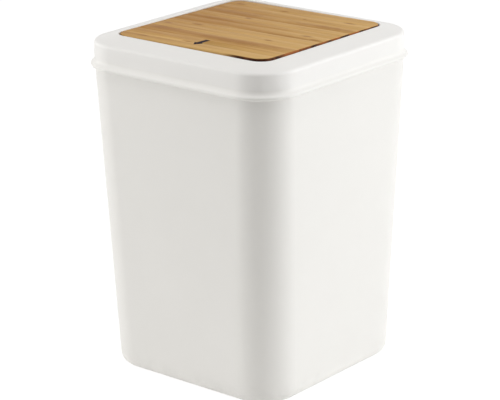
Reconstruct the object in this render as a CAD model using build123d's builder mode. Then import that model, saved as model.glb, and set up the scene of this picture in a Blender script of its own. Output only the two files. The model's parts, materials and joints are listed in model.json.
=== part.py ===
from build123d import *
import math
import os

# A square swing-lid bin in millimetres: a tapered tub with a beaded rim, a collar that lifts
# off it, and a wooden flap that swings both ways in the collar. +Z is up, the floor is Z = 0 under
# the middle of the tub, and -Y is the front, where the flap is pushed.

# Tub
RIM_HALF = 100.1  # half the outside width at the rim, without the bead
BASE_HALF = 90.0  # half the outside width at the floor
BASE_CORNER = 33.5  # plan radius at the floor
TUB_HEIGHT = 268.0
TUB_WALL = 1.9
FOOT_EDGE = 8.0  # rounding of the outside bottom edge
FOOT_LAND = 4.0  # width of the ring that stands on the floor
FOOT_RECESS = 2.0  # how far the middle of the base is raised
BEAD_REACH = 3.1  # bead round the rim, out from the wall, below a cove
BEAD_ROUND = 1.9
BEAD_TILT = 55.0  # degrees out from upright where the cove turns into the bead
BEAD_HOOK = 75.0  # degrees that the bead curls on below its widest line
BEAD_WALL = 1.6  # between the cove and the hollow under the bead

# Collar lid
CORNER_RADIUS = 33.1  # plan radius at the shoulder; every corner above the rim shares its centre
SHOULDER_SETBACK = 0.1  # the shoulder stands this far in from the tub's outside
SKIRT_FLARE = 0.2
COLLAR_WALL = 1.8
COLLAR_RISE = 13.4  # rim of the tub to the shoulder
TOP_BAND = 20.6  # width of the sloped top, shoulder to opening
TOP_RISE = 5.0
LIP_DEPTH = 15.0  # wall round the opening, down from its edge
SPIGOT_DEPTH = 8.0  # ring that stands in the tub's mouth
SPIGOT_CLEARANCE = 0.3
SPIGOT_LEAD = 0.6  # chamfer at its foot
SHOULDER_ROUND = 3.0
OPENING_ROUND = 1.0
GUSSET_THICK = 1.4
GUSSET_PITCH = 42.0
GUSSET_CLEARANCE = 2.5  # gussets end this far above the tub's rim

# Flap board
FLAP_GAP = 1.0  # all round, between the board and the opening
PANEL_THICK = 6.0
PANEL_PROUD = 0.1
PANEL_ROUND = 0.9
PANEL_BACK_CHAMFER = 0.5

# Push mark, an arrow let into the board
MARK_LENGTH = 18.0
MARK_STEM = 4.6
MARK_HEAD_WIDTH = 9.6
MARK_HEAD_LENGTH = 7.0
MARK_EDGE = 7.9  # tip of the arrow to the board's front edge
MARK_DEPTH = 0.8

# Pivot
PIVOT_DROP = 3.2  # pivot line below the back of the board
PIN_DIAMETER = 4.0
PIN_LENGTH = 20.0
PIN_CLEARANCE = 0.05  # running fit, on the radius
PIN_CHAMFER = 0.4
PIN_END_PLAY = 0.5
SWING_LIMIT = 80.0  # degrees each way

# Flap carrier
CARRIER_INSET = 5.6
CARRIER_CORNER = 5.0
PLATE_THICK = 2.0
CARRIER_RIB = 1.6
RIM_RIB_DEPTH = 3.6
GRID_RIB_DEPTH = 3.0
GRID_RIB_X = 30.0
GRID_RIB_Y = 32.0
EAR_LENGTH = 10.0
EAR_WALL = 3.0  # round the pin
EAR_REACH = 2.0  # ears stand this far out from the tray
TONGUE_NEAR = 3.6  # stop tongues, from the pivot line
TONGUE_FAR = 14.0
TONGUE_THICK = 1.7
TONGUE_SETBACK = 0.6  # from the board's edge

# Counterweight and its trough
BAR_INSET = 14.0  # ends of the bar, in from the tray's edge
BAR_HALF_WIDTH = 7.0
BAR_THICK = 6.0
BAR_CHAMFER = 0.5
BAR_CLEARANCE = 0.2
TROUGH_WALL = 1.6
TROUGH_DEPTH = 19.0  # pivot line to the trough's mouth
COVER_THICK = 1.8
COVER_CORNER = 4.0
LUG_DIAMETER = 8.0

# Pivot block on the collar, and the keeper that closes it
BLOCK_LENGTH = 10.4
BLOCK_HALF_WIDTH = 9.5
BLOCK_DEPTH = 9.0  # below the pivot line
KEEPER_FLANGE = 2.0
KEEPER_CLEARANCE = 0.1
STOP_SETBACK = 0.4  # from the carrier's ear
STOP_TOP = 5.0  # stop block begins this far below the pivot line
STOP_GAP = 0.3  # left between a tongue and the stop at the end of the swing

# Screws
SMALL_SHANK = 2.5
SMALL_HEAD = 4.8
SMALL_HEAD_HEIGHT = 1.5
SMALL_BITE = 7.0  # thread in the plastic
BOARD_SHANK = 3.0
BOARD_HEAD = 6.0
BOARD_HEAD_HEIGHT = 1.8
BOARD_SKIN = 1.6  # wood left over the screw holes
SCREW_PAD = 1.6  # thickening of the tray under a screw head
SCREW_PAD_DIAMETER = 9.0
SCREW_INSET = 17.0  # board screws, in from the tray's edge
TIGHT_FIT = 0.03  # round a screw's thread or a fixed pin
HOLE_SPARE = 0.4  # blind holes are this much deeper than the screw

# Widths that follow, as distances from the middle
shoulder_half = RIM_HALF - SHOULDER_SETBACK
corner_centre = shoulder_half - CORNER_RADIUS
skirt_half = shoulder_half + SKIRT_FLARE
skirt_inner = shoulder_half - COLLAR_WALL
opening_half = shoulder_half - TOP_BAND
lip_outer = opening_half + COLLAR_WALL
flap_half = opening_half - FLAP_GAP
bead_half = RIM_HALF + BEAD_REACH
bead_centre = bead_half - BEAD_ROUND
bead_tilt = math.radians(BEAD_TILT)
bead_cove = BEAD_REACH / (1 - math.cos(bead_tilt)) - BEAD_ROUND
cove_centre = RIM_HALF + bead_cove
recess_half = BASE_HALF - FOOT_EDGE - FOOT_LAND
recess_corner = BASE_CORNER - FOOT_EDGE - FOOT_LAND
wall_slope = (RIM_HALF - BASE_HALF) / TUB_HEIGHT
floor_half = BASE_HALF + wall_slope * TUB_WALL - TUB_WALL
spigot_half = RIM_HALF - TUB_WALL - SPIGOT_CLEARANCE
spigot_foot = spigot_half - wall_slope * SPIGOT_DEPTH
block_end = opening_half + BLOCK_LENGTH

# Heights that follow
shoulder_z = TUB_HEIGHT + COLLAR_RISE
opening_z = shoulder_z + TOP_RISE
lip_z = opening_z - LIP_DEPTH
bead_z = TUB_HEIGHT - (bead_cove + BEAD_ROUND) * math.sin(bead_tilt)
spigot_z = TUB_HEIGHT - SPIGOT_DEPTH
ledge_z = TUB_HEIGHT + COLLAR_WALL
gusset_z = TUB_HEIGHT + GUSSET_CLEARANCE
panel_top = opening_z + PANEL_PROUD
panel_back = panel_top - PANEL_THICK
pivot_z = panel_back - PIVOT_DROP
plate_z = panel_back - PLATE_THICK
tongue_z = panel_back - TONGUE_THICK
board_seat_z = plate_z - SCREW_PAD
trough_z = pivot_z - TROUGH_DEPTH
cover_z = trough_z - COVER_THICK
bar_top = trough_z + BAR_THICK + BAR_CLEARANCE
block_z = pivot_z - BLOCK_DEPTH
flange_z = block_z - KEEPER_FLANGE
board_bite = PANEL_THICK - BOARD_SKIN - HOLE_SPARE

# Places along the pivot line, from the middle outwards
pin_radius = PIN_DIAMETER / 2
bearing_radius = pin_radius + PIN_CLEARANCE
ear_radius = pin_radius + EAR_WALL
carrier_half = flap_half - CARRIER_INSET
ear_end = carrier_half + EAR_REACH
tongue_root = carrier_half - CARRIER_RIB
tongue_end = flap_half - TONGUE_SETBACK
stop_start = ear_end + STOP_SETBACK
stop_end = opening_half - KEEPER_CLEARANCE
bearing_end = block_end - COLLAR_WALL
riser_end = bearing_end - KEEPER_CLEARANCE
pin_end = bearing_end - PIN_END_PLAY
pin_start = pin_end - PIN_LENGTH
bar_end = carrier_half - BAR_INSET
trough_end = bar_end + BAR_CLEARANCE
trough_half = BAR_HALF_WIDTH + BAR_CLEARANCE + TROUGH_WALL
lug_x = trough_end + LUG_DIAMETER / 2
keeper_screw_x = (opening_half + block_end) / 2
keeper_screw_y = (bearing_radius + BLOCK_HALF_WIDTH) / 2

SIDES = {"right": 1, "left": -1}
BOTH_WAYS = (-1, 1)
board_screw_reach = carrier_half - SCREW_INSET
board_screw_spots = [(x * board_screw_reach, y * board_screw_reach) for x in (-1, 0, 1) for y in BOTH_WAYS]
cover_screw_spots = [(x * lug_x, 0) for x in BOTH_WAYS]
keeper_screw_spots = [(x * keeper_screw_x, y * keeper_screw_y) for x in BOTH_WAYS for y in BOTH_WAYS]


def concentric(half):
    """Corner radius of a square ring that shares the collar's corner centres."""
    return half - corner_centre


def rounded_square(half, corner, mode=Mode.ADD):
    """Square outline by its half width, in the sketch that is open."""
    RectangleRounded(2 * half, 2 * half, corner, mode=mode)


def ring_wire():
    """Path of a profile that goes round the bin, with the collar's corner centres."""
    with BuildLine() as ring:
        FilletPolyline(
            (shoulder_half, 0),
            (shoulder_half, shoulder_half),
            (-shoulder_half, shoulder_half),
            (-shoulder_half, 0),
            radius=CORNER_RADIUS,
        )
        mirror(about=Plane.XZ)
    return ring.wire()


def top_z(half):
    """Height of the collar's sloped top at a distance from the middle."""
    return shoulder_z + TOP_RISE * (shoulder_half - half) / TOP_BAND


def on_cove(angle):
    """Point of the cove above the bead, by its angle from upright."""
    return cove_centre - bead_cove * math.cos(angle), TUB_HEIGHT - bead_cove * math.sin(angle)


def on_bead(angle):
    """Point of the bead, by its angle above its widest line."""
    return bead_centre + BEAD_ROUND * math.cos(angle), bead_z + BEAD_ROUND * math.sin(angle)


def hollow_z(half):
    """Height of the roof of the hollow under the bead, at a distance from the middle."""
    return TUB_HEIGHT - math.sqrt((bead_cove + BEAD_WALL) ** 2 - (cove_centre - half) ** 2)


def stop_half_width(drop):
    """Half width of the stop block at a depth below the pivot line, for the end of the swing."""
    limit = math.radians(SWING_LIMIT)
    rise = tongue_z - pivot_z
    return (rise + drop * math.cos(limit) - STOP_GAP) / math.sin(limit)


def drill(spots, z, radius, depth):
    """Round holes upwards from a height, in the part that is open."""
    with Locations(*[(x, y, z) for x, y in spots]):
        Cylinder(radius, depth, align=(Align.CENTER, Align.CENTER, Align.MIN), mode=Mode.SUBTRACT)


def screw(shank, head, head_height, length):
    """Pan-head screw with its seat at Z = 0, its point up and a cross recess."""
    with BuildPart() as body:
        with BuildSketch(Plane.XZ):
            with BuildLine():
                Polyline(
                    (0.32 * head, -head_height),
                    (0, -head_height),
                    (0, length),
                    (0.15 * shank, length),
                    (shank / 2, length - 0.6 * shank),
                    (shank / 2, 0),
                    (head / 2, 0),
                    (head / 2, -0.45 * head_height),
                )
                ThreePointArc(
                    (head / 2, -0.45 * head_height),
                    (0.44 * head, -0.84 * head_height),
                    (0.32 * head, -head_height),
                )
            make_face()
        revolve(axis=Axis.Z)
        with BuildSketch(Plane.XY.offset(-head_height)):
            Rectangle(0.56 * head, 0.13 * head)
            Rectangle(0.13 * head, 0.56 * head)
        extrude(amount=0.6 * head_height, mode=Mode.SUBTRACT)
    return body.part


def finish(piece, name):
    """Label a finished piece and write its file."""
    piece.label = name
    export_step(piece, f"parts/{name}.step")


os.makedirs("parts", exist_ok=True)

# Tub cavity: the space inside the walls, whose floor is raised over the recess below
with BuildPart() as cavity:
    with BuildSketch(Plane.XY.offset(TUB_WALL)):
        rounded_square(floor_half, BASE_CORNER - TUB_WALL)
    with BuildSketch(Plane.XY.offset(TUB_HEIGHT)):
        rounded_square(RIM_HALF - TUB_WALL, concentric(RIM_HALF - TUB_WALL))
    loft(ruled=True)
    fillet(cavity.faces().sort_by(Axis.Z)[0].edges(), FOOT_EDGE - TUB_WALL)
    with BuildSketch(Plane.XY.offset(TUB_WALL)):
        rounded_square(recess_half + TUB_WALL, recess_corner + TUB_WALL)
    extrude(amount=FOOT_RECESS, mode=Mode.SUBTRACT)

# Tub: tapered shell with a foot ring, and a coved bead round its rim that is hollow from below
with BuildPart() as tub:
    with BuildSketch(Plane.XY):
        rounded_square(BASE_HALF, BASE_CORNER)
    with BuildSketch(Plane.XY.offset(TUB_HEIGHT)):
        rounded_square(RIM_HALF, concentric(RIM_HALF))
    loft(ruled=True)
    fillet(tub.faces().sort_by(Axis.Z)[0].edges(), FOOT_EDGE)
    bead_end = on_bead(-math.radians(BEAD_HOOK))
    with BuildSketch(Plane.XZ):
        with BuildLine():
            ThreePointArc(on_cove(0), on_cove(bead_tilt / 2), on_cove(bead_tilt))
            ThreePointArc(on_bead(bead_tilt), on_bead(0), bead_end)
            Polyline(
                bead_end,
                (bead_end[0], hollow_z(bead_end[0])),
                (RIM_HALF - TUB_WALL / 2, hollow_z(RIM_HALF)),
                (RIM_HALF - TUB_WALL / 2, TUB_HEIGHT),
                on_cove(0),
            )
        make_face()
    sweep(path=ring_wire())
    add(cavity.part, mode=Mode.SUBTRACT)
    with BuildSketch(Plane.XY):
        rounded_square(recess_half, recess_corner)
    extrude(amount=FOOT_RECESS, mode=Mode.SUBTRACT)
finish(tub.part, "tub")

# Collar: one profile that stands on the rim with a spigot in the tub's mouth, swept round the
# bin, then stiffened and given its pivot blocks
with BuildPart() as lid_collar:
    with BuildSketch(Plane.XZ) as profile:
        with BuildLine():
            Polyline(
                (skirt_half, TUB_HEIGHT),
                (shoulder_half, shoulder_z),
                (opening_half, opening_z),
                (opening_half, lip_z),
                (lip_outer, lip_z),
                (lip_outer, top_z(lip_outer) - COLLAR_WALL),
                (skirt_inner, top_z(skirt_inner) - COLLAR_WALL),
                (skirt_inner, ledge_z),
                (spigot_half - COLLAR_WALL, ledge_z),
                (spigot_foot - COLLAR_WALL, spigot_z),
                (spigot_foot - SPIGOT_LEAD, spigot_z),
                (spigot_foot + wall_slope * SPIGOT_LEAD, spigot_z + SPIGOT_LEAD),
                (spigot_half, TUB_HEIGHT),
                close=True,
            )
        make_face()
        shoulder_edge = profile.vertices().sort_by_distance((shoulder_half, shoulder_z, 0))[0]
        fillet(shoulder_edge, SHOULDER_ROUND)
        opening_edge = profile.vertices().sort_by_distance((opening_half, opening_z, 0))[0]
        fillet(opening_edge, OPENING_ROUND)
    sweep(path=ring_wire())

    # Gussets between the lip and the skirt, with none where the pivot blocks stand
    for turn in (0, 90, 180, 270):
        cosine = round(math.cos(math.radians(turn)))
        sine = round(math.sin(math.radians(turn)))
        middle = () if sine == 0 else (0,)
        for spot in (-GUSSET_PITCH, *middle, GUSSET_PITCH):
            across = Plane(
                origin=(-spot * sine, spot * cosine, 0), x_dir=(cosine, sine, 0), z_dir=(sine, -cosine, 0)
            )
            with BuildSketch(across):
                with BuildLine():
                    Polyline(
                        (lip_outer - COLLAR_WALL / 2, lip_z + COLLAR_WALL),
                        (skirt_inner + COLLAR_WALL / 2, gusset_z),
                        (skirt_inner + COLLAR_WALL / 2, top_z(skirt_inner) - COLLAR_WALL),
                        (lip_outer - COLLAR_WALL / 2, top_z(lip_outer) - COLLAR_WALL),
                        close=True,
                    )
                make_face()
            extrude(amount=GUSSET_THICK / 2, both=True)

    # Pivot blocks, each with a slot that is open from below and round at the pivot line
    for side in SIDES.values():
        with BuildSketch(Plane.XZ):
            with BuildLine():
                Polyline(
                    (side * opening_half, block_z),
                    (side * block_end, block_z),
                    (side * block_end, top_z(block_end) - COLLAR_WALL / 2),
                    (side * opening_half, opening_z - COLLAR_WALL),
                    close=True,
                )
            make_face()
        extrude(amount=BLOCK_HALF_WIDTH, both=True)
        with BuildSketch(Plane.YZ.offset(side * opening_half)):
            with Locations((0, pivot_z)):
                Circle(bearing_radius)
            with Locations((0, (pivot_z + block_z) / 2)):
                Rectangle(2 * bearing_radius, pivot_z - block_z)
        extrude(amount=side * (bearing_end - opening_half), mode=Mode.SUBTRACT)
    drill(keeper_screw_spots, block_z, SMALL_SHANK / 2 + TIGHT_FIT, SMALL_BITE + HOLE_SPARE)
finish(lid_collar.part, "lid_collar")

# Push mark: an arrow that points to the front edge
mark_tip = MARK_EDGE - flap_half
mark_neck = mark_tip + MARK_HEAD_LENGTH
mark_tail = mark_tip + MARK_LENGTH
with BuildPart() as push_mark:
    with BuildSketch(Plane.XY.offset(panel_top - MARK_DEPTH)):
        with BuildLine():
            Polyline(
                (0, mark_tip),
                (MARK_HEAD_WIDTH / 2, mark_neck),
                (MARK_STEM / 2, mark_neck),
                (MARK_STEM / 2, mark_tail),
                (-MARK_STEM / 2, mark_tail),
                (-MARK_STEM / 2, mark_neck),
                (-MARK_HEAD_WIDTH / 2, mark_neck),
                close=True,
            )
        make_face()
    extrude(amount=MARK_DEPTH)
finish(push_mark.part, "push_mark")

# Flap board, with the arrow's bed and blind holes for its screws
with BuildPart() as flap_panel:
    with BuildSketch(Plane.XY.offset(panel_back)):
        rounded_square(flap_half, concentric(flap_half))
    extrude(amount=PANEL_THICK)
    fillet(flap_panel.faces().sort_by(Axis.Z)[-1].edges(), PANEL_ROUND)
    chamfer(flap_panel.faces().sort_by(Axis.Z)[0].edges(), PANEL_BACK_CHAMFER)
    add(push_mark.part, mode=Mode.SUBTRACT)
    drill(board_screw_spots, panel_back, BOARD_SHANK / 2 + TIGHT_FIT, board_bite + HOLE_SPARE)
finish(flap_panel.part, "flap_panel")

# Flap carrier: a ribbed tray with an ear for each pin, stop tongues and the weight's trough
with BuildPart() as flap_carrier:
    with BuildSketch(Plane.XY.offset(plate_z)):
        rounded_square(carrier_half, CARRIER_CORNER)
    extrude(amount=PLATE_THICK)
    with BuildSketch(Plane.XY.offset(plate_z - RIM_RIB_DEPTH)):
        rounded_square(carrier_half, CARRIER_CORNER)
        rounded_square(carrier_half - CARRIER_RIB, CARRIER_CORNER - CARRIER_RIB, Mode.SUBTRACT)
    extrude(amount=RIM_RIB_DEPTH)
    rib_length = 2 * carrier_half - CARRIER_RIB
    with BuildSketch(Plane.XY.offset(plate_z - GRID_RIB_DEPTH)):
        with GridLocations(2 * GRID_RIB_X, 0, 2, 1):
            Rectangle(CARRIER_RIB, rib_length)
        with GridLocations(0, 2 * GRID_RIB_Y, 1, 2):
            Rectangle(rib_length, CARRIER_RIB)
    extrude(amount=GRID_RIB_DEPTH)
    with BuildSketch(Plane.XY.offset(board_seat_z)):
        with Locations(*board_screw_spots):
            Circle(SCREW_PAD_DIAMETER / 2)
    extrude(amount=SCREW_PAD)

    # Trough for the weight, with ribs that hold it down on the cover
    with BuildSketch(Plane.XY.offset(trough_z)):
        Rectangle(2 * (trough_end + TROUGH_WALL), 2 * trough_half)
        with Locations(*cover_screw_spots):
            Circle(LUG_DIAMETER / 2)
        Rectangle(2 * trough_end, 2 * (trough_half - TROUGH_WALL), mode=Mode.SUBTRACT)
    extrude(amount=plate_z - trough_z)
    with BuildSketch(Plane.XY.offset(bar_top)):
        with GridLocations(bar_end / 2, 0, 5, 1):
            Rectangle(CARRIER_RIB, 2 * trough_half - TROUGH_WALL)
    extrude(amount=plate_z - bar_top)

    # Ears and stop tongues
    for side in SIDES.values():
        with BuildSketch(Plane.YZ.offset(side * (ear_end - EAR_LENGTH))):
            with Locations((0, pivot_z)):
                Circle(ear_radius)
            with Locations((0, (pivot_z + panel_back) / 2)):
                Rectangle(2 * ear_radius, panel_back - pivot_z)
            with Locations((0, pivot_z + ear_radius)):
                Rectangle(2 * ear_radius, 2 * (ear_radius - PIVOT_DROP), mode=Mode.SUBTRACT)
        extrude(amount=side * EAR_LENGTH)
        with BuildSketch(Plane.XY.offset(tongue_z)):
            with Locations((side * (tongue_root + tongue_end) / 2, 0)):
                with GridLocations(0, TONGUE_NEAR + TONGUE_FAR, 1, 2):
                    Rectangle(tongue_end - tongue_root, TONGUE_FAR - TONGUE_NEAR)
        extrude(amount=TONGUE_THICK)
        with BuildSketch(Plane.YZ.offset(side * pin_start)):
            with Locations((0, pivot_z)):
                Circle(pin_radius + TIGHT_FIT)
        extrude(amount=side * (ear_end - pin_start), mode=Mode.SUBTRACT)
    drill(board_screw_spots, board_seat_z, BOARD_SHANK / 2 + TIGHT_FIT, panel_back - board_seat_z)
    drill(cover_screw_spots, trough_z, SMALL_SHANK / 2 + TIGHT_FIT, SMALL_BITE + HOLE_SPARE)
finish(flap_carrier.part, "flap_carrier")

# Counterweight bar
with BuildPart() as counterweight:
    with BuildSketch(Plane.XY.offset(trough_z)):
        Rectangle(2 * bar_end, 2 * BAR_HALF_WIDTH)
    extrude(amount=BAR_THICK)
    chamfer(counterweight.edges(), BAR_CHAMFER)
finish(counterweight.part, "counterweight")

# Weight cover: a strip screwed over the trough's mouth
with BuildPart() as weight_cover:
    with BuildSketch(Plane.XY.offset(cover_z)):
        RectangleRounded(2 * lug_x + LUG_DIAMETER, 2 * trough_half, COVER_CORNER)
    extrude(amount=COVER_THICK)
    drill(cover_screw_spots, cover_z, SMALL_SHANK / 2 + TIGHT_FIT, COVER_THICK)
finish(weight_cover.part, "weight_cover")

# Pins, and the keepers that close the pivot slots and carry the stop blocks
for name, side in SIDES.items():
    with BuildPart() as pivot_pin:
        with BuildSketch(Plane.YZ.offset(side * pin_start)):
            with Locations((0, pivot_z)):
                Circle(pin_radius)
        extrude(amount=side * PIN_LENGTH)
        chamfer(pivot_pin.edges().filter_by(GeomType.CIRCLE), PIN_CHAMFER)
    finish(pivot_pin.part, f"pivot_pin_{name}")

    with BuildPart() as pivot_keeper:
        with BuildSketch(Plane.XY.offset(flange_z)):
            with Locations((side * keeper_screw_x, 0)):
                Rectangle(BLOCK_LENGTH, 2 * BLOCK_HALF_WIDTH)
        extrude(amount=KEEPER_FLANGE)
        drill(keeper_screw_spots, flange_z, SMALL_SHANK / 2 + TIGHT_FIT, KEEPER_FLANGE)
        with BuildSketch(Plane.XY.offset(flange_z)):
            with Locations((side * (stop_end + riser_end) / 2, 0)):
                Rectangle(riser_end - stop_end, 2 * (bearing_radius - KEEPER_CLEARANCE))
        extrude(amount=pivot_z - bearing_radius - flange_z)
        with BuildSketch(Plane.YZ.offset(side * stop_start)):
            with BuildLine():
                Polyline(
                    (-stop_half_width(STOP_TOP), pivot_z - STOP_TOP),
                    (stop_half_width(STOP_TOP), pivot_z - STOP_TOP),
                    (stop_half_width(pivot_z - flange_z), flange_z),
                    (-stop_half_width(pivot_z - flange_z), flange_z),
                    close=True,
                )
            make_face()
        extrude(amount=side * (stop_end - stop_start))
        with BuildSketch(Plane.XY.offset(flange_z)):
            with Locations((side * (stop_end + opening_half) / 2, 0)):
                Rectangle(opening_half - stop_end, 2 * stop_half_width(BLOCK_DEPTH))
        extrude(amount=KEEPER_FLANGE)
    finish(pivot_keeper.part, f"pivot_keeper_{name}")

# Screws, as groups of separate solids
board_screw = screw(BOARD_SHANK, BOARD_HEAD, BOARD_HEAD_HEIGHT, panel_back + board_bite - board_seat_z)
cover_screw = screw(SMALL_SHANK, SMALL_HEAD, SMALL_HEAD_HEIGHT, COVER_THICK + SMALL_BITE)
keeper_screw = screw(SMALL_SHANK, SMALL_HEAD, SMALL_HEAD_HEIGHT, KEEPER_FLANGE + SMALL_BITE)
screw_groups = {
    "panel_screws": (board_screw, board_screw_spots, board_seat_z),
    "cover_screws": (cover_screw, cover_screw_spots, cover_z),
    "keeper_screws": (keeper_screw, keeper_screw_spots, flange_z),
}
for name, (one_screw, spots, seat_z) in screw_groups.items():
    with BuildPart() as screws:
        with Locations(*[(x, y, seat_z) for x, y in spots]):
            add(one_screw)
    finish(screws.part, name)
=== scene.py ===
"""Swing-lid bin: the bamboo board, its inlaid mark, the finishes, the studio and the camera.

Every length is in metres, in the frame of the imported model, with the front of the bin at -Y.
"""

from __future__ import annotations

import json
import logging
import math
from dataclasses import dataclass, field
from enum import Enum
from functools import cached_property
from typing import Callable

import bpy
from mathutils import Matrix, Vector

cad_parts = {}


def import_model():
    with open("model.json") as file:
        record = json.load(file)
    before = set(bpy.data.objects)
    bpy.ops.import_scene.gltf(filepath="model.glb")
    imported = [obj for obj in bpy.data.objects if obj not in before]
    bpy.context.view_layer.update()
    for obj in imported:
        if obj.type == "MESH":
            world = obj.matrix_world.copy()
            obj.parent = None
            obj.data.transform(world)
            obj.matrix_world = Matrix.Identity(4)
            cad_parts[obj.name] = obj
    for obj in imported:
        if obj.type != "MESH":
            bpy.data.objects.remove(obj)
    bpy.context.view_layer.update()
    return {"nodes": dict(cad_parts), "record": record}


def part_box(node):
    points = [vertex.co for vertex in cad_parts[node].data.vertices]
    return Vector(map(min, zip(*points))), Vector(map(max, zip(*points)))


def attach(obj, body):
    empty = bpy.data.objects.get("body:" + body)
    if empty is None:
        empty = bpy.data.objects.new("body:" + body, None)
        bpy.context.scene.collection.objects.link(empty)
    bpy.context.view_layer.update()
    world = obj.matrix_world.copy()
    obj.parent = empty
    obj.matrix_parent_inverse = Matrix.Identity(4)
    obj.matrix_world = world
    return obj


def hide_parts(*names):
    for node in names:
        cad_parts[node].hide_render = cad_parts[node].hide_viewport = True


MM = 0.001
TOUCH = 1e-6
BOARD_CORNER = 11.5 * MM
BIN_MIDDLE = (0.0, 0.0, 0.15)
STRIP_TONE = "strip_tone"
WHITE = (1.0, 1.0, 1.0, 1.0)
Socket = bpy.types.NodeSocket

log = logging.getLogger("swing_lid_bin")


class Slot(str, Enum):
    """The record's material slots."""

    TUB = "tub_plastic"
    COLLAR = "collar_plastic"
    BAMBOO = "bamboo"
    MARK = "mark_inlay"
    INNER = "inner_plastic"
    STEEL = "zinc_steel"


class Body(str, Enum):
    """The moving body that the pieces modelled here ride with."""

    FLAP = "flap_body"


class Choice(str, Enum):
    """What edit mode selects."""

    VERTICES = "VERT"
    EDGES = "EDGE"


@dataclass(frozen=True)
class Colour:
    """A display colour, in sRGB with each channel from 0 to 255."""

    red: float
    green: float
    blue: float

    def linear(self, share: float = 1.0) -> tuple[float, ...]:
        """Args:
            share: factor on the light that the colour sends back.

        Returns:
            The colour as the shaders take it, with full alpha.
        """

        def channel(value: float) -> float:
            part = value / 255
            return part / 12.92 if part <= 0.04045 else ((part + 0.055) / 1.055) ** 2.4

        return tuple(share * channel(value) for value in (self.red, self.green, self.blue)) + (1.0,)


class Wiring:
    """A node tree with short ways to add and join nodes."""

    def __init__(self, tree: bpy.types.NodeTree) -> None:
        """Args:
            tree: the tree that new nodes go into.
        """
        self.tree = tree

    def fill(self, node: bpy.types.Node, inputs: dict) -> None:
        """Give a node its inputs.

        Args:
            node: the node.
            inputs: socket name or number to a value, or to a socket to join.
        """
        for key, value in inputs.items():
            if isinstance(value, Socket):
                self.tree.links.new(value, node.inputs[key])
            else:
                node.inputs[key].default_value = value

    def node(self, kind: str, inputs: dict | None = None, **settings: object) -> bpy.types.Node:
        """Add one node.

        Args:
            kind: the node's type name.
            inputs: as for fill.
            settings: properties of the node.

        Returns:
            The new node.
        """
        made = self.tree.nodes.new(kind)
        for name, value in settings.items():
            setattr(made, name, value)
        self.fill(made, inputs or {})
        return made

    def math(self, operation: str, first: object, second: object, clamp: bool = False) -> Socket:
        """Args:
            operation: the Math node's operation.
            first: number or socket.
            second: number or socket.
            clamp: keep the result from 0 to 1.

        Returns:
            The result's socket.
        """
        inputs = {0: first, 1: second}
        return self.node("ShaderNodeMath", inputs, operation=operation, use_clamp=clamp).outputs[0]

    def add(self, first: object, second: object, clamp: bool = False) -> Socket:
        """Returns: the sum, as by math."""
        return self.math("ADD", first, second, clamp)

    def subtract(self, first: object, second: object, clamp: bool = False) -> Socket:
        """Returns: the difference, as by math."""
        return self.math("SUBTRACT", first, second, clamp)

    def times(self, first: object, second: object) -> Socket:
        """Returns: the product, as by math."""
        return self.math("MULTIPLY", first, second)

    def vector(self, operation: str, first: object, second: object) -> Socket:
        """Args:
            operation: the Vector Math node's operation.
            first: vector or socket.
            second: vector or socket.

        Returns:
            The resulting vector's socket.
        """
        return self.node("ShaderNodeVectorMath", {0: first, 1: second}, operation=operation).outputs[0]

    def level_length(self, vector: Socket) -> Socket:
        """Returns: the length of a vector's part along X and Y."""
        level = self.vector("MULTIPLY", vector, (1.0, 1.0, 0.0))
        return self.node("ShaderNodeVectorMath", {0: level}, operation="LENGTH").outputs[1]

    def coordinate(self, position: Socket, axis: int) -> Socket:
        """Returns: one coordinate of a position, with 0 for X."""
        return self.node("ShaderNodeSeparateXYZ", {0: position}).outputs[axis]

    def mix(self, share: object, first: object, second: object) -> Socket:
        """Args:
            share: how much of the second colour, number or socket.
            first: colour or socket.
            second: colour or socket.

        Returns:
            The mixed colour's socket.
        """
        inputs = {0: share, 6: first, 7: second}
        return self.node("ShaderNodeMix", inputs, data_type="RGBA", clamp_factor=True).outputs[2]

    def ease(self, value: Socket, low: float, high: float, start: float = 0.0, end: float = 1.0) -> Socket:
        """A smooth step.

        Args:
            value: what the step depends on.
            low: value at the step's start.
            high: value at the step's end.
            start: result at or below low.
            end: result at or above high.

        Returns:
            The result's socket.
        """
        inputs = {0: value, 1: low, 2: high, 3: start, 4: end}
        return self.node("ShaderNodeMapRange", inputs, interpolation_type="SMOOTHSTEP").outputs[0]

    def noise(self, position: Socket, scale: object, detail: float, roughness: float) -> Socket:
        """Args:
            position: vector socket.
            scale: waves to a unit of the position, about, number or socket.
            detail: octaves.
            roughness: strength of the finer octaves.

        Returns:
            The noise value's socket.
        """
        inputs = {"Vector": position, "Scale": scale, "Detail": detail, "Roughness": roughness}
        return self.node("ShaderNodeTexNoise", inputs).outputs[0]

    def stretched_noise(
        self, position: Socket, waves: object, detail: float = 2.0, roughness: float = 0.5
    ) -> Socket:
        """Args:
            position: vector socket.
            waves: waves to a metre along each axis, vector or socket.
            detail: octaves.
            roughness: strength of the finer octaves.

        Returns:
            The noise value's socket.
        """
        return self.noise(self.vector("MULTIPLY", position, waves), 1.0, detail, roughness)


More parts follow.
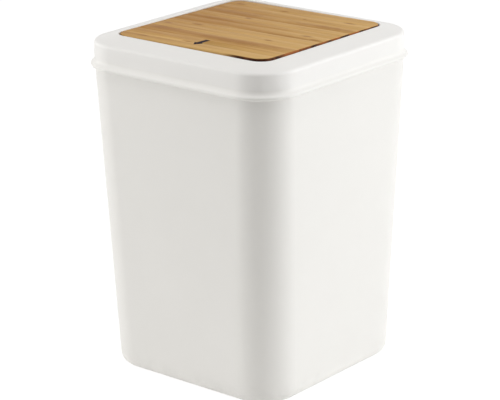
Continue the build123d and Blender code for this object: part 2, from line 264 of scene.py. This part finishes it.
class Effects:
    """Shader node groups for the finishes, each built when it is first asked for."""

    GRAIN_SHARE = 0.35
    WAVE_SHARE = 0.65
    RUB_FADE = 1.6
    SCRATCH_FADE = 1.2
    SCRATCH_WAVES = (90.0, 90.0, 1400.0)
    FIBRE_SLIMNESS = 0.012
    PORE_WAVES = (3.0, 2.2, 2.2)
    RAGGED_WAVES = (140.0, 420.0, 1.0)
    RAGGED_REACH = 0.9

    @staticmethod
    def _open(
        name: str, vectors: tuple[str, ...], numbers: tuple[str, ...], outputs: tuple[str, ...]
    ) -> tuple[Wiring, dict[str, Socket]]:
        """Start a group.

        Args:
            name: the group's name.
            vectors: names of the vector inputs.
            numbers: names of the value inputs.
            outputs: names of the value outputs.

        Returns:
            The group's wiring, and input name to the socket inside the group.
        """
        wire = Wiring(bpy.data.node_groups.new(name, "ShaderNodeTree"))
        ports = [(label, "INPUT", "NodeSocketVector") for label in vectors]
        ports += [(label, "INPUT", "NodeSocketFloat") for label in numbers]
        ports += [(label, "OUTPUT", "NodeSocketFloat") for label in outputs]
        for label, side, kind in ports:
            wire.tree.interface.new_socket(name=label, in_out=side, socket_type=kind)
        entry = wire.node("NodeGroupInput")
        return wire, {label: entry.outputs[label] for label in vectors + numbers}

    @cached_property
    def moulded_skin(self) -> bpy.types.NodeTree:
        """Fine spark-eroded grain of a mould, with the slow waves of a cooled wall.

        Returns:
            The group: Position, Grain Size in; Height, Gloss, Cloud out.
        """
        outputs = ("Height", "Gloss", "Cloud")
        wire, given = self._open("moulded_skin", ("Position",), ("Grain Size",), outputs)
        per_metre = wire.math("DIVIDE", 1.0, given["Grain Size"])
        grain = wire.noise(given["Position"], scale=per_metre, detail=2.0, roughness=0.55)
        waves = wire.noise(given["Position"], scale=9.0, detail=1.0, roughness=0.4)
        cloud = wire.noise(given["Position"], scale=26.0, detail=3.0, roughness=0.6)
        height = wire.add(wire.times(grain, self.GRAIN_SHARE), wire.times(waves, self.WAVE_SHARE))
        wire.node("NodeGroupOutput", {"Height": height, "Gloss": grain, "Cloud": cloud})
        return wire.tree

    @cached_property
    def scuffing(self) -> bpy.types.NodeTree:
        """Rubbed patches and hairline scratches that gather below a height.

        Returns:
            The group: Position, Clear Above in; Rub, Scratch out.
        """
        wire, given = self._open("scuffing", ("Position",), ("Clear Above",), ("Rub", "Scratch"))
        height = wire.coordinate(given["Position"], 2)
        nearness = wire.subtract(1.0, wire.math("DIVIDE", height, given["Clear Above"]), clamp=True)
        rough = wire.noise(given["Position"], scale=60.0, detail=4.0, roughness=0.65)
        patches = wire.ease(rough, low=0.42, high=0.66)
        rub = wire.times(patches, wire.math("POWER", nearness, self.RUB_FADE))
        lines = wire.ease(wire.stretched_noise(given["Position"], self.SCRATCH_WAVES), low=0.64, high=0.70)
        scratch = wire.times(lines, wire.math("POWER", nearness, self.SCRATCH_FADE))
        wire.node("NodeGroupOutput", {"Rub": rub, "Scratch": scratch})
        return wire.tree

    @cached_property
    def outline_depth(self) -> bpy.types.NodeTree:
        """How far a point lies outside a rounded square, which is below zero inside it.

        Returns:
            The group: Position, Half, Corner in; Depth out.
        """
        wire, given = self._open("outline_depth", ("Position",), ("Half", "Corner"), ("Depth",))
        centre = wire.subtract(given["Half"], given["Corner"])
        corner = wire.node("ShaderNodeCombineXYZ", {0: centre, 1: centre}).outputs[0]
        spread = wire.vector("ABSOLUTE", given["Position"], (0.0, 0.0, 0.0))
        beyond = wire.vector("MAXIMUM", wire.vector("SUBTRACT", spread, corner), (0.0, 0.0, 0.0))
        wire.node("NodeGroupOutput", {"Depth": wire.subtract(wire.level_length(beyond), given["Corner"])})
        return wire.tree

    @cached_property
    def fibres(self) -> bpy.types.NodeTree:
        """Long streaks of bamboo fibre along X.

        Returns:
            The group: Position, Fibre Width in; Streak, Pore out.
        """
        wire, given = self._open("fibres", ("Position",), ("Fibre Width",), ("Streak", "Pore"))
        per_metre = wire.math("DIVIDE", 1.0, given["Fibre Width"])
        lengthwise = wire.times(per_metre, self.FIBRE_SLIMNESS)
        waves = wire.node("ShaderNodeCombineXYZ", {0: lengthwise, 1: per_metre, 2: per_metre}).outputs[0]
        stretched = wire.vector("MULTIPLY", given["Position"], waves)
        streak = wire.noise(stretched, scale=1.0, detail=4.0, roughness=0.62)
        pore = wire.ease(wire.stretched_noise(stretched, self.PORE_WAVES), low=0.62, high=0.74)
        wire.node("NodeGroupOutput", {"Streak": streak, "Pore": pore})
        return wire.tree

    @cached_property
    def patch(self) -> bpy.types.NodeTree:
        """A soft oval patch, longer along X, with a ragged edge.

        Returns:
            The group: Position, Centre, Reach in; Mask out.
        """
        wire, given = self._open("patch", ("Position", "Centre", "Reach"), (), ("Mask",))
        wobble = wire.subtract(wire.stretched_noise(given["Position"], self.RAGGED_WAVES), 0.5)
        offset = wire.vector("SUBTRACT", given["Position"], given["Centre"])
        distance = wire.level_length(wire.vector("DIVIDE", offset, given["Reach"]))
        ragged = wire.add(distance, wire.times(wobble, self.RAGGED_REACH))
        wire.node("NodeGroupOutput", {"Mask": wire.ease(ragged, low=0.15, high=1.0, start=1.0, end=0.0)})
        return wire.tree


@dataclass
class Finish:
    """A material under construction, with its shader and its Object coordinates."""

    name: str
    material: bpy.types.Material = field(init=False)
    wire: Wiring = field(init=False)
    shader: bpy.types.Node = field(init=False)
    position: Socket = field(init=False)

    def __post_init__(self) -> None:
        """Open the node tree and keep its shader."""
        self.material = bpy.data.materials.new(self.name)
        self.material.use_nodes = True
        self.wire = Wiring(self.material.node_tree)
        self.shader = self.material.node_tree.nodes["Principled BSDF"]
        self.position = self.wire.node("ShaderNodeTexCoord").outputs["Object"]

    @staticmethod
    def _spaced(values: dict[str, object]) -> dict[str, object]:
        """Returns: the values by their sockets' names, which have spaces for underscores."""
        return {name.replace("_", " "): value for name, value in values.items()}

    def put(self, **values: object) -> None:
        """Args:
            values: numbers, colours or sockets, by the shader's socket.
        """
        self.wire.fill(self.shader, self._spaced(values))

    def group(self, tree: bpy.types.NodeTree, **values: object) -> bpy.types.NodeOutputs:
        """Args:
            tree: one of the effects.
            values: the effect's inputs but for the position.

        Returns:
            The effect's outputs by name.
        """
        inputs = {"Position": self.position, **self._spaced(values)}
        return self.wire.node("ShaderNodeGroup", inputs, node_tree=tree).outputs

    def spread(self, middle: float, width: float, pattern: Socket) -> Socket:
        """Args:
            middle: the value where the pattern is 0.5.
            width: the difference from a pattern of 0 to one of 1.
            pattern: what the value varies by.

        Returns:
            The varying value's socket.
        """
        return self.wire.add(middle - width / 2, self.wire.times(pattern, width))

    def raise_surface(self, height: Socket, depth: float) -> None:
        """Args:
            height: height value, 0 to 1.
            depth: metres that a height of 1 stands for.
        """
        bump = {"Height": height, "Distance": depth, "Strength": 1.0}
        self.put(Normal=self.wire.node("ShaderNodeBump", bump).outputs[0])


@dataclass(frozen=True)
class MouldedPlastic:
    """Satin injection-moulded plastic."""

    name: str
    colour: Colour
    roughness: float = 0.42
    scuffed_below: float = 20.0 * MM
    grain_size: float = 0.5 * MM
    grain_depth: float = 0.02 * MM
    cloud_shade: float = 0.965
    cloud_share: float = 0.7
    rub_shade: float = 0.8
    rub_share: float = 0.5
    gloss_spread: float = 0.08
    scratch_dulling: float = 0.15
    refraction: float = 1.49
    specular: float = 0.25

    def build(self, effects: Effects) -> bpy.types.Material:
        """Args:
            effects: the shared node groups.

        Returns:
            The material.
        """
        finish = Finish(self.name)
        wire = finish.wire
        skin = finish.group(effects.moulded_skin, Grain_Size=self.grain_size)
        marks = finish.group(effects.scuffing, Clear_Above=self.scuffed_below)
        cloud = wire.times(skin["Cloud"], self.cloud_share)
        clouded = wire.mix(cloud, self.colour.linear(), self.colour.linear(self.cloud_shade))
        worn = wire.mix(wire.times(marks["Rub"], self.rub_share), clouded, self.colour.linear(self.rub_shade))
        gloss = finish.spread(self.roughness, self.gloss_spread, skin["Gloss"])
        dulled = wire.add(gloss, wire.times(marks["Scratch"], self.scratch_dulling), clamp=True)
        finish.put(Base_Color=worn, Roughness=dulled, IOR=self.refraction, Specular_IOR_Level=self.specular)
        finish.raise_surface(skin["Height"], self.grain_depth)
        return finish.material


@dataclass(frozen=True)
class Patch:
    """A soft oval on the board's face, in millimetres from its middle."""

    x: float
    y: float
    reach_x: float
    reach_y: float


@dataclass(frozen=True)
class Bamboo:
    """Oiled bamboo of glued strips along X, each with its own tone, and an edge that turns dark towards the
    right: end grain of the wood's own, with painted shade of the gap under the collar's edge on the front
    edge's right part.
    """

    name: str
    light: Colour
    middle: Colour
    dark: Colour
    end_light: Colour
    # dark end grain colour, also used as the painted shade of the gap under the collar's edge
    end_dark_and_shade: Colour
    half: float
    knuckles: tuple[Patch, ...]
    bands: tuple[Patch, ...]
    corner: float = BOARD_CORNER
    fibre_width: float = 0.9 * MM
    drift_waves: tuple[float, ...] = (6.0, 110.0, 110.0)
    strip_weight: float = 0.6
    drift_weight: float = 1.6
    streak_weight: float = 2.2
    lighter_to_right: float = 4.5
    tone_base: float = 1.72
    band_share: float = 0.62
    knuckle_share: float = 0.8
    pore_share: float = 0.3
    side_starts: float = -0.32 * MM
    side_full: float = -0.08 * MM
    end_waves: tuple[float, ...] = (90.0, 90.0, 160.0)
    end_strip_weight: float = 0.55
    end_dark_below: float = 0.45
    end_light_above: float = 0.95
    # from here towards the right the edge takes the end grain colour; on the front edge this dark is painted
    # shade of the gap under the collar's edge
    dark_edge_from: float = 36.0 * MM
    dark_edge_full: float = 52.0 * MM
    roughness: float = 0.5
    sheen_spread: float = 0.16
    streak_height: float = 0.5
    relief: float = 0.04 * MM
    refraction: float = 1.45
    specular: float = 0.12

    def _mask(self, effects: Effects, finish: Finish, spots: tuple[Patch, ...]) -> Socket:
        """Join soft patches into one mask.

        Args:
            effects: the shared node groups.
            finish: the material under construction.
            spots: the patches.

        Returns:
            The mask.
        """
        whole = None
        for spot in spots:
            centre = (spot.x * MM, spot.y * MM, 0.0)
            reach = (spot.reach_x * MM, spot.reach_y * MM, 1.0)
            mask = finish.group(effects.patch, Centre=centre, Reach=reach)["Mask"]
            whole = mask if whole is None else finish.wire.math("MAXIMUM", whole, mask)
        return whole

    def _face(
        self, effects: Effects, finish: Finish, strip: Socket, fibre: bpy.types.NodeOutputs
    ) -> Socket:
        """Colour of the strips with their dark bands, knuckles and pores.

        Args:
            effects: the shared node groups.
            finish: the material under construction.
            strip: tone of the strip.
            fibre: streaks and pores.

        Returns:
            The colour.
        """
        wire = finish.wire
        drift = wire.stretched_noise(finish.position, self.drift_waves, detail=3.0, roughness=0.55)
        tone = wire.times(strip, self.strip_weight)
        tone = wire.add(tone, wire.times(drift, self.drift_weight))
        tone = wire.add(tone, wire.times(fibre["Streak"], self.streak_weight))
        to_right = wire.coordinate(finish.position, 0)
        tone = wire.subtract(tone, wire.times(to_right, self.lighter_to_right))
        tone = wire.subtract(tone, self.tone_base, clamp=True)
        colour = wire.mix(tone, self.light.linear(), self.middle.linear())
        layers = (
            (self._mask(effects, finish, self.bands), self.band_share),
            (self._mask(effects, finish, self.knuckles), self.knuckle_share),
            (fibre["Pore"], self.pore_share),
        )
        for mask, share in layers:
            colour = wire.mix(wire.times(mask, share), colour, self.dark.linear())
        return colour

    def _side(self, finish: Finish, strip: Socket, face: Socket) -> Socket:
        """Colour of the board's edge, darker towards the right: end grain of the wood's own, and painted
        shade of the gap under the collar's edge on the front edge's right part.

        Args:
            finish: the material under construction.
            strip: tone of the strip.
            face: colour of the face.

        Returns:
            The colour.
        """
        wire = finish.wire
        along = wire.stretched_noise(finish.position, self.end_waves)
        tone = wire.add(wire.times(strip, self.end_strip_weight), along)
        tone = wire.ease(tone, self.end_dark_below, self.end_light_above)
        end_grain_and_shade = wire.mix(tone, self.end_dark_and_shade.linear(), self.end_light.linear())
        # the edge darkens towards the right: real end grain at the right end, painted shade of the gap on the
        # front edge's right part
        to_right = wire.coordinate(finish.position, 0)
        return wire.mix(wire.ease(to_right, self.dark_edge_from, self.dark_edge_full), face, end_grain_and_shade)

    def build(self, effects: Effects) -> bpy.types.Material:
        """Args:
            effects: the shared node groups.

        Returns:
            The material.
        """
        finish = Finish(self.name)
        wire = finish.wire
        strip = wire.node("ShaderNodeAttribute", attribute_name=STRIP_TONE).outputs["Fac"]
        fibre = finish.group(effects.fibres, Fibre_Width=self.fibre_width)
        face = self._face(effects, finish, strip, fibre)
        depth = finish.group(effects.outline_depth, Half=self.half, Corner=self.corner)["Depth"]
        at_side = wire.ease(depth, self.side_starts, self.side_full)
        finish.put(
            Base_Color=wire.mix(at_side, face, self._side(finish, strip, face)),
            Roughness=finish.spread(self.roughness, self.sheen_spread, fibre["Streak"]),
            IOR=self.refraction,
            Specular_IOR_Level=self.specular,
        )
        height = wire.subtract(wire.times(fibre["Streak"], self.streak_height), fibre["Pore"])
        finish.raise_surface(height, self.relief)
        return finish.material


@dataclass(frozen=True)
class ZincSteel:
    """Zinc-plated steel of pins, screws and the weight."""

    name: str
    colour: Colour
    dull_shade: float = 0.72
    roughness: float = 0.34
    gloss_spread: float = 0.2
    grain_size: float = 0.25 * MM
    grain_depth: float = 0.01 * MM

    def build(self, effects: Effects) -> bpy.types.Material:
        """Args:
            effects: the shared node groups.

        Returns:
            The material.
        """
        finish = Finish(self.name)
        skin = finish.group(effects.moulded_skin, Grain_Size=self.grain_size)
        finish.put(
            Base_Color=finish.wire.mix(
                skin["Cloud"], self.colour.linear(), self.colour.linear(self.dull_shade)
            ),
            Roughness=finish.spread(self.roughness, self.gloss_spread, skin["Gloss"]),
            Metallic=1.0,
        )
        finish.raise_surface(skin["Height"], self.grain_depth)
        return finish.material


@dataclass(frozen=True)
class BurntInk:
    """Matt dark filling of the push mark, a little uneven."""

    name: str
    colour: Colour
    faded_shade: float = 1.5
    faded_share: float = 0.7
    roughness: float = 0.65
    sheen_spread: float = 0.2
    fibre_width: float = 0.6 * MM
    relief: float = 0.03 * MM
    specular: float = 0.03

    def build(self, effects: Effects) -> bpy.types.Material:
        """Args:
            effects: the shared node groups.

        Returns:
            The material.
        """
        finish = Finish(self.name)
        streak = finish.group(effects.fibres, Fibre_Width=self.fibre_width)["Streak"]
        faded = finish.wire.times(streak, self.faded_share)
        finish.put(
            Base_Color=finish.wire.mix(faded, self.colour.linear(), self.colour.linear(self.faded_shade)),
            Roughness=finish.spread(self.roughness, self.sheen_spread, streak),
            Specular_IOR_Level=self.specular,
        )
        finish.raise_surface(streak, self.relief)
        return finish.material


def dress(node: bpy.types.Object, material: bpy.types.Material) -> None:
    """Give a CAD node or a new piece its finish.

    Args:
        node: the object.
        material: its only material.
    """
    if not node.material_slots:
        node.data.materials.append(material)
    for slot in node.material_slots:
        slot.material = material


@dataclass(frozen=True)
class Camera:
    """The photograph's viewpoint, solved from the bin's own edges, with its angles in degrees."""

    azimuth: float = 39.75
    elevation: float = 18.25
    roll: float = -0.79
    distance: float = 1.8517
    lens: float = 158.7
    aim: tuple[float, float, float] = (-0.00101, -0.00153, 0.13839)
    nearest: float = 0.1
    farthest: float = 50.0

    def build(self) -> None:
        """Set up the scene's camera."""
        turn, tilt = math.radians(self.azimuth), math.radians(self.elevation)
        back = Vector((math.sin(turn) * math.cos(tilt), -math.cos(turn) * math.cos(tilt), math.sin(tilt)))
        side = Vector((math.cos(turn), math.sin(turn), 0.0))
        axes = Matrix((side, back.cross(side), back)).transposed().to_4x4()
        place = Matrix.Translation(Vector(self.aim) + back * self.distance)
        bpy.ops.object.camera_add()
        camera = bpy.context.object
        camera.name = "photo_camera"
        camera.data.lens = self.lens
        camera.data.clip_start, camera.data.clip_end = self.nearest, self.farthest
        camera.matrix_world = place @ axes @ Matrix.Rotation(math.radians(self.roll), 4, "Z")
        bpy.context.scene.camera = camera


@dataclass(frozen=True)
class SoftBox:
    """A studio lamp with a cloth front, aimed at the middle of the bin, with its angles in degrees."""

    name: str
    azimuth: float
    elevation: float
    width: float
    height: float
    power: float
    tint: tuple[float, float, float]
    distance: float = 2.2

    def build(self) -> None:
        """Hang the lamp."""
        turn, tilt = math.radians(self.azimuth), math.radians(self.elevation)
        away = Vector((math.cos(turn) * math.cos(tilt), math.sin(turn) * math.cos(tilt), math.sin(tilt)))
        bpy.ops.object.light_add(type="AREA", location=Vector(BIN_MIDDLE) + away * self.distance)
        lamp = bpy.context.object
        lamp.name = self.name
        lamp.rotation_mode = "QUATERNION"
        lamp.rotation_quaternion = (-away).to_track_quat("-Z", "Y")
        lamp.data.shape = "RECTANGLE"
        lamp.data.size = self.width
        lamp.data.size_y = self.height
        lamp.data.energy = self.power
        lamp.data.color = self.tint


@dataclass(frozen=True)
class Studio:
    """White floor, white surroundings and soft lamps on the right, on the left and above."""

    ambient: float = 0.185
    reflected: float = 0.82
    shade: tuple[float, float, float, float] = (1.0, 0.965, 0.89, 1.0)
    floor_reach: float = 6.0
    floor_drop: float = 0.2 * MM
    floor_albedo: float = 0.88
    floor_roughness: float = 0.9
    floor_glow: float = 0.8
    floor_light: float = 1.16
    floor_fill: float = 0.12
    lamps: tuple[SoftBox, ...] = (
        SoftBox("right_softbox", 40.0, 12.0, width=1.3, height=1.0, power=28.5, tint=(0.983, 0.996, 1.0)),
        SoftBox("left_softbox", -150.0, 10.0, width=1.2, height=1.0, power=22.5, tint=(1.0, 1.0, 0.985)),
        SoftBox("top_softbox", -62.0, 78.0, width=1.6, height=1.6, power=27.0, tint=(1.0, 0.993, 0.98)),
    )

    def _world(self) -> None:
        """Even, slightly warm light all round, which the camera and reflections see as white."""
        world = bpy.data.worlds.new("surroundings")
        bpy.context.scene.world = world
        world.use_nodes = True
        wire = Wiring(world.node_tree)
        path = wire.node("ShaderNodeLightPath").outputs
        seen = wire.math("MAXIMUM", path["Is Camera Ray"], path["Is Transmission Ray"])
        mirrored = path["Is Glossy Ray"]
        strength = wire.add(self.ambient, wire.times(seen, 1.0 - self.ambient))
        strength = wire.add(strength, wire.times(mirrored, self.reflected - self.ambient))
        colour = wire.mix(wire.math("MAXIMUM", seen, mirrored), self.shade, WHITE)
        wire.fill(world.node_tree.nodes["Background"], {"Color": colour, "Strength": strength})

    def _floor(self) -> None:
        """A white sheet that takes a faint shadow and shows as white."""
        bpy.ops.mesh.primitive_plane_add(size=self.floor_reach, location=(0.0, 0.0, -self.floor_drop))
        floor = bpy.context.object
        floor.name = "floor"
        finish = Finish("white_floor")
        finish.put(Base_Color=(self.floor_albedo,) * 3 + (1.0,), Roughness=self.floor_roughness)
        finish.put(Emission_Color=self.shade, Emission_Strength=self.floor_fill)
        wire = finish.wire
        seen = wire.node("ShaderNodeLightPath").outputs["Is Camera Ray"]
        glow = wire.node("ShaderNodeEmission", {"Color": WHITE, "Strength": self.floor_light})
        shaders = {0: wire.times(seen, self.floor_glow), 1: finish.shader.outputs[0], 2: glow.outputs[0]}
        blended = wire.node("ShaderNodeMixShader", shaders)
        output = next(node for node in wire.tree.nodes if node.type == "OUTPUT_MATERIAL")
        wire.fill(output, {"Surface": blended.outputs[0]})
        dress(floor, finish.material)

    def build(self) -> None:
        """Set up the light, the floor and the colour handling."""
        self._world()
        self._floor()
        for lamp in self.lamps:
            lamp.build()
        bpy.context.scene.view_settings.view_transform = "Standard"


@dataclass(frozen=True)
class Lean:
    """How the top of the board stands out of true, as slopes about a point of its middle."""

    centre: Vector
    to_right: float = 0.012
    to_front: float = 0.0095

    def apply(self) -> None:
        """Turn the selected vertices, so that the top rises towards the right and the front."""
        turn = {"orient_type": "GLOBAL", "center_override": self.centre}
        for axis, slope in (("X", self.to_front), ("Y", self.to_right)):
            bpy.ops.transform.rotate(value=math.atan(slope), orient_axis=axis, **turn)


def pick(node: bpy.types.Object) -> None:
    """Leave edit mode and select one object alone.

    Args:
        node: the object, which becomes the active one.
    """
    if bpy.context.mode != "OBJECT":
        bpy.ops.object.mode_set(mode="OBJECT")
    bpy.ops.object.select_all(action="DESELECT")
    node.select_set(True)
    bpy.context.view_layer.objects.active = node


class Piece:
    """A piece that is modelled here, in edit mode."""

    piece: bpy.types.Object

    def _clear_choice(self, kind: Choice) -> bpy.types.Mesh:
        """Select nothing and leave edit mode.

        Args:
            kind: what is to be selected next.

        Returns:
            The piece's mesh.
        """
        if self.piece.mode != "EDIT":
            bpy.ops.object.mode_set(mode="EDIT")
        bpy.ops.mesh.select_mode(type=kind.value)
        bpy.ops.mesh.select_all(action="DESELECT")
        bpy.ops.object.mode_set(mode="OBJECT")
        return self.piece.data

    def choose_vertices(self, chosen: Callable[[Vector], bool]) -> None:
        """Select vertices and stay in edit mode.

        Args:
            chosen: says whether a vertex at a place counts.
        """
        for vertex in self._clear_choice(Choice.VERTICES).vertices:
            vertex.select = chosen(vertex.co)
        bpy.ops.object.mode_set(mode="EDIT")

    def choose_edges(self, chosen: Callable[[Vector, Vector], bool]) -> None:
        """Select edges and stay in edit mode.

        Args:
            chosen: says whether an edge between two places counts.
        """
        mesh = self._clear_choice(Choice.EDGES)
        for edge in mesh.edges:
            edge.select = chosen(*(mesh.vertices[end].co for end in edge.vertices))
        bpy.ops.object.mode_set(mode="EDIT")

    def take_copy(self, node: bpy.types.Object, name: str) -> None:
        """Start from a merged copy of a CAD node, and stay in edit mode.

        Args:
            node: the CAD node.
            name: the copy's name.
        """
        pick(node)
        bpy.ops.object.duplicate()
        self.piece = bpy.context.object
        self.piece.name = self.piece.data.name = name
        self.piece.parent = None
        for key in list(self.piece.keys()):
            del self.piece[key]
        bpy.ops.object.mode_set(mode="EDIT")
        bpy.ops.mesh.select_all(action="SELECT")
        bpy.ops.mesh.remove_doubles(threshold=TOUCH)

    def hand_over(self, slot: Slot, node: str, angle: float) -> bpy.types.Object:
        """Shade the piece, let it ride with the flap and put it in a node's place.

        Args:
            slot: its material slot; not used.
            node: the CAD node that it stands for.
            angle: edges flatter than this, in degrees, are smooth.

        Returns:
            The piece.
        """
        pick(self.piece)
        bpy.ops.object.shade_smooth_by_angle(angle=math.radians(angle))
        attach(self.piece, Body.FLAP)
        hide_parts(node)
        log.info("%s: %d faces", self.piece.name, len(self.piece.data.polygons))
        return self.piece


@dataclass
class InlaidMark(Piece):
    """The push mark, flush with the leaning top of the board."""

    node: bpy.types.Object
    lean: Lean
    proud: float = 0.03 * MM
    edge_round: float = 0.12 * MM
    edge_steps: int = 2
    flat_within: float = 1.0
    smooth_below: float = 30.0

    def build(self) -> bpy.types.Object:
        """Returns: the mark."""
        middle = sum(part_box("push_mark"), Vector()) / 2
        self.take_copy(self.node, "inlaid_mark")
        bpy.ops.mesh.dissolve_limited(angle_limit=math.radians(self.flat_within))
        self.choose_vertices(lambda place: place.z > middle.z)
        self.lean.apply()
        bpy.ops.transform.translate(value=(0.0, 0.0, self.proud))
        self.choose_edges(lambda first, second: min(first.z, second.z) > middle.z)
        bpy.ops.mesh.bevel(offset=self.edge_round, segments=self.edge_steps, affect="EDGES")
        return self.hand_over(Slot.MARK, "push_mark", self.smooth_below)


@dataclass
class BambooBoard(Piece):
    """The flap's board: glued strips with fine joints, a rounded edge and a top slightly out of true."""

    mark: bpy.types.Object
    low: Vector
    high: Vector
    lean: Lean
    corner: float = BOARD_CORNER
    corner_steps: int = 14
    top_round: float = 0.9 * MM
    top_steps: int = 5
    back_chamfer: float = 0.5 * MM
    joints_mm: tuple[float, ...] = (-65.0, -51.0, -34.0, -19.0, -7.0, 8.0, 19.0, 31.0, 45.0, 61.0)
    tones: tuple[float, ...] = (0.1, 0.3, 0.9, 0.35, 0.2, 0.5, 0.75, 0.25, 0.95, 0.3, 0.15)
    joint_width: float = 0.14 * MM
    joint_depth: float = 0.07 * MM
    bed_clearance: float = 0.04 * MM
    bed_open_above: float = 4.0 * MM
    smooth_below: float = 32.0

    def _blank(self) -> None:
        """The board's block with its rounded corners and edges."""
        size = self.high - self.low
        bpy.ops.mesh.primitive_cube_add(size=1.0, location=(0.0, 0.0, 0.0))
        self.piece = bpy.context.object
        self.piece.name = self.piece.data.name = "bamboo_board"
        bpy.ops.object.mode_set(mode="EDIT")
        bpy.ops.mesh.select_all(action="SELECT")
        bpy.ops.transform.resize(value=size)
        bpy.ops.transform.translate(value=(self.low + self.high) / 2)
        self.choose_edges(lambda first, second: abs(first.z - second.z) > size.z / 2)
        bpy.ops.mesh.bevel(
            offset=self.corner, offset_type="OFFSET", segments=self.corner_steps, affect="EDGES"
        )
        self.choose_edges(lambda first, second: min(first.z, second.z) > self.high.z - TOUCH)
        bpy.ops.mesh.bevel(offset=self.top_round, segments=self.top_steps, affect="EDGES")
        self.choose_edges(lambda first, second: max(first.z, second.z) < self.low.z + TOUCH)
        bpy.ops.mesh.bevel(offset=self.back_chamfer, segments=1, affect="EDGES")

    def _cut_joints(self) -> None:
        """Press a fine groove along each glue line of the top."""
        top = self.high.z - self.top_round
        for joint in self.joints_mm:
            for shift in (-self.joint_width, 0.0, self.joint_width):
                bpy.ops.mesh.select_all(action="SELECT")
                bpy.ops.mesh.bisect(plane_co=(0.0, joint * MM + shift, 0.0), plane_no=(0.0, 1.0, 0.0))
            self.choose_vertices(lambda place: abs(place.y - joint * MM) < TOUCH and place.z > top)
            bpy.ops.transform.translate(value=(0.0, 0.0, -self.joint_depth))

    def _lean_top(self) -> None:
        """Lean the upper half of the board, as the board in the photograph stands."""
        middle = (self.low + self.high) / 2
        self.choose_vertices(lambda place: place.z > middle.z)
        self.lean.apply()

    def _bed_mark(self) -> None:
        """Sink a bed for the push mark, a little wider than the mark."""
        low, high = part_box("push_mark")
        middle = (low + high) / 2
        cutter = Piece()
        cutter.take_copy(self.mark, "mark_cutter")
        wider = tuple((side + 2 * self.bed_clearance) / side for side in high - low)
        bpy.ops.transform.resize(value=wider, center_override=middle)
        cutter.choose_vertices(lambda place: place.z > middle.z)
        bpy.ops.transform.translate(value=(0.0, 0.0, self.bed_open_above))
        pick(self.piece)
        cut = self.piece.modifiers.new("mark_bed", "BOOLEAN")
        cut.object, cut.operation, cut.solver = cutter.piece, "DIFFERENCE", "EXACT"
        bpy.ops.object.modifier_apply(modifier=cut.name)
        bpy.data.objects.remove(cutter.piece)

    def _tone_strips(self) -> None:
        """Give every face the tone of its strip."""
        mesh = self.piece.data
        tone = mesh.attributes.new(STRIP_TONE, "FLOAT", "FACE")
        for face in mesh.polygons:
            strip = sum(face.center.y > joint * MM for joint in self.joints_mm)
            tone.data[face.index].value = self.tones[strip]

    def build(self) -> bpy.types.Object:
        """Returns: the board."""
        self._blank()
        self._cut_joints()
        self._lean_top()
        self._bed_mark()
        self._tone_strips()
        return self.hand_over(Slot.BAMBOO, "flap_panel", self.smooth_below)


class SwingLidBin:
    """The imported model's nodes in their finishes, and the pieces that are modelled here."""

    def __init__(self, nodes: dict[str, bpy.types.Object]) -> None:
        """Args:
            nodes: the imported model's objects by name.
        """
        self.nodes = nodes

    @staticmethod
    def _bamboo(half: float) -> Bamboo:
        """Args:
            half: half of the board's width.

        Returns:
            The board's finish, with its bands and knuckles where the photograph shows them.
        """
        return Bamboo(
            "oiled_bamboo",
            light=Colour(210, 170, 108),
            middle=Colour(172, 124, 62),
            dark=Colour(152, 103, 46),
            end_light=Colour(164, 98, 48),
            # dark end grain, also the painted shade of the gap under the collar's edge
            end_dark_and_shade=Colour(58, 30, 16),
            half=half,
            knuckles=(
                Patch(-44, -14, 9, 3.4),
                Patch(-69, -23, 7, 3),
                Patch(40, -25, 6, 2.6),
                Patch(-66, -39, 11, 3.6),
                Patch(57.5, 60, 9, 3),
                Patch(-24, 28, 6, 3.4),
                Patch(57, 4, 8, 2.6),
                Patch(-65, 67, 9, 3),
                Patch(-16, 65, 8, 3),
                Patch(-11, -65, 8, 2.4),
                Patch(-54, -70, 8, 2.4),
                Patch(70, -3, 9, 2.6),
                Patch(17, 51, 2.2, 1.6),
            ),
            bands=(
                Patch(-46, 38, 50, 8),
                Patch(50, 38, 50, 5.5),
                Patch(-45, 12, 45, 4.5),
                Patch(40, -5, 50, 3.2),
                Patch(-58, -39, 26, 8),
                Patch(20, -43, 70, 8.5),
            ),
        )

    def finishes(self) -> dict[Slot, bpy.types.Material]:
        """Returns: the material of each slot."""
        _, board_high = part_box("flap_panel")
        unscuffed = {"scuffed_below": 1.0 * MM}
        recipes = {
            Slot.TUB: MouldedPlastic("tub_satin_white", Colour(243, 242, 240)),
            Slot.COLLAR: MouldedPlastic("collar_satin_white", Colour(245, 244, 243), **unscuffed),
            Slot.INNER: MouldedPlastic(
                "inner_matt_white", Colour(236, 234, 230), roughness=0.55, **unscuffed
            ),
            Slot.BAMBOO: self._bamboo(board_high.x),
            Slot.MARK: BurntInk("dark_inlay", Colour(26, 22, 34)),
            Slot.STEEL: ZincSteel("zinc_plated_steel", Colour(196, 198, 204)),
        }
        effects = Effects()
        return {slot: recipe.build(effects) for slot, recipe in recipes.items()}

    def build(self, record: dict) -> None:
        """Dress every node and model the board and its mark.

        Args:
            record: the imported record, which says each node's slot.
        """
        made = self.finishes()
        for part in record["subparts"]:
            slot = Slot(part["material_slot"])
            dress(self.nodes[part["node"]], made[slot])
            log.info("%s: %s", part["node"], made[slot].name)
        low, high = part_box("flap_panel")
        mark = self.nodes["push_mark"]
        lean = Lean(Vector((0.0, 0.0, high.z)))
        dress(BambooBoard(mark, low, high, lean).build(), made[Slot.BAMBOO])
        dress(InlaidMark(mark, lean).build(), made[Slot.MARK])


def main() -> None:
    """Load the frame, then build the bin, the studio and the camera."""
    logging.basicConfig(level=logging.INFO, format="%(message)s")
    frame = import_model()
    bpy.ops.object.select_all(action="DESELECT")
    SwingLidBin(frame["nodes"]).build(frame["record"])
    Studio().build()
    Camera().build()


if __name__ == "__main__":
    main()
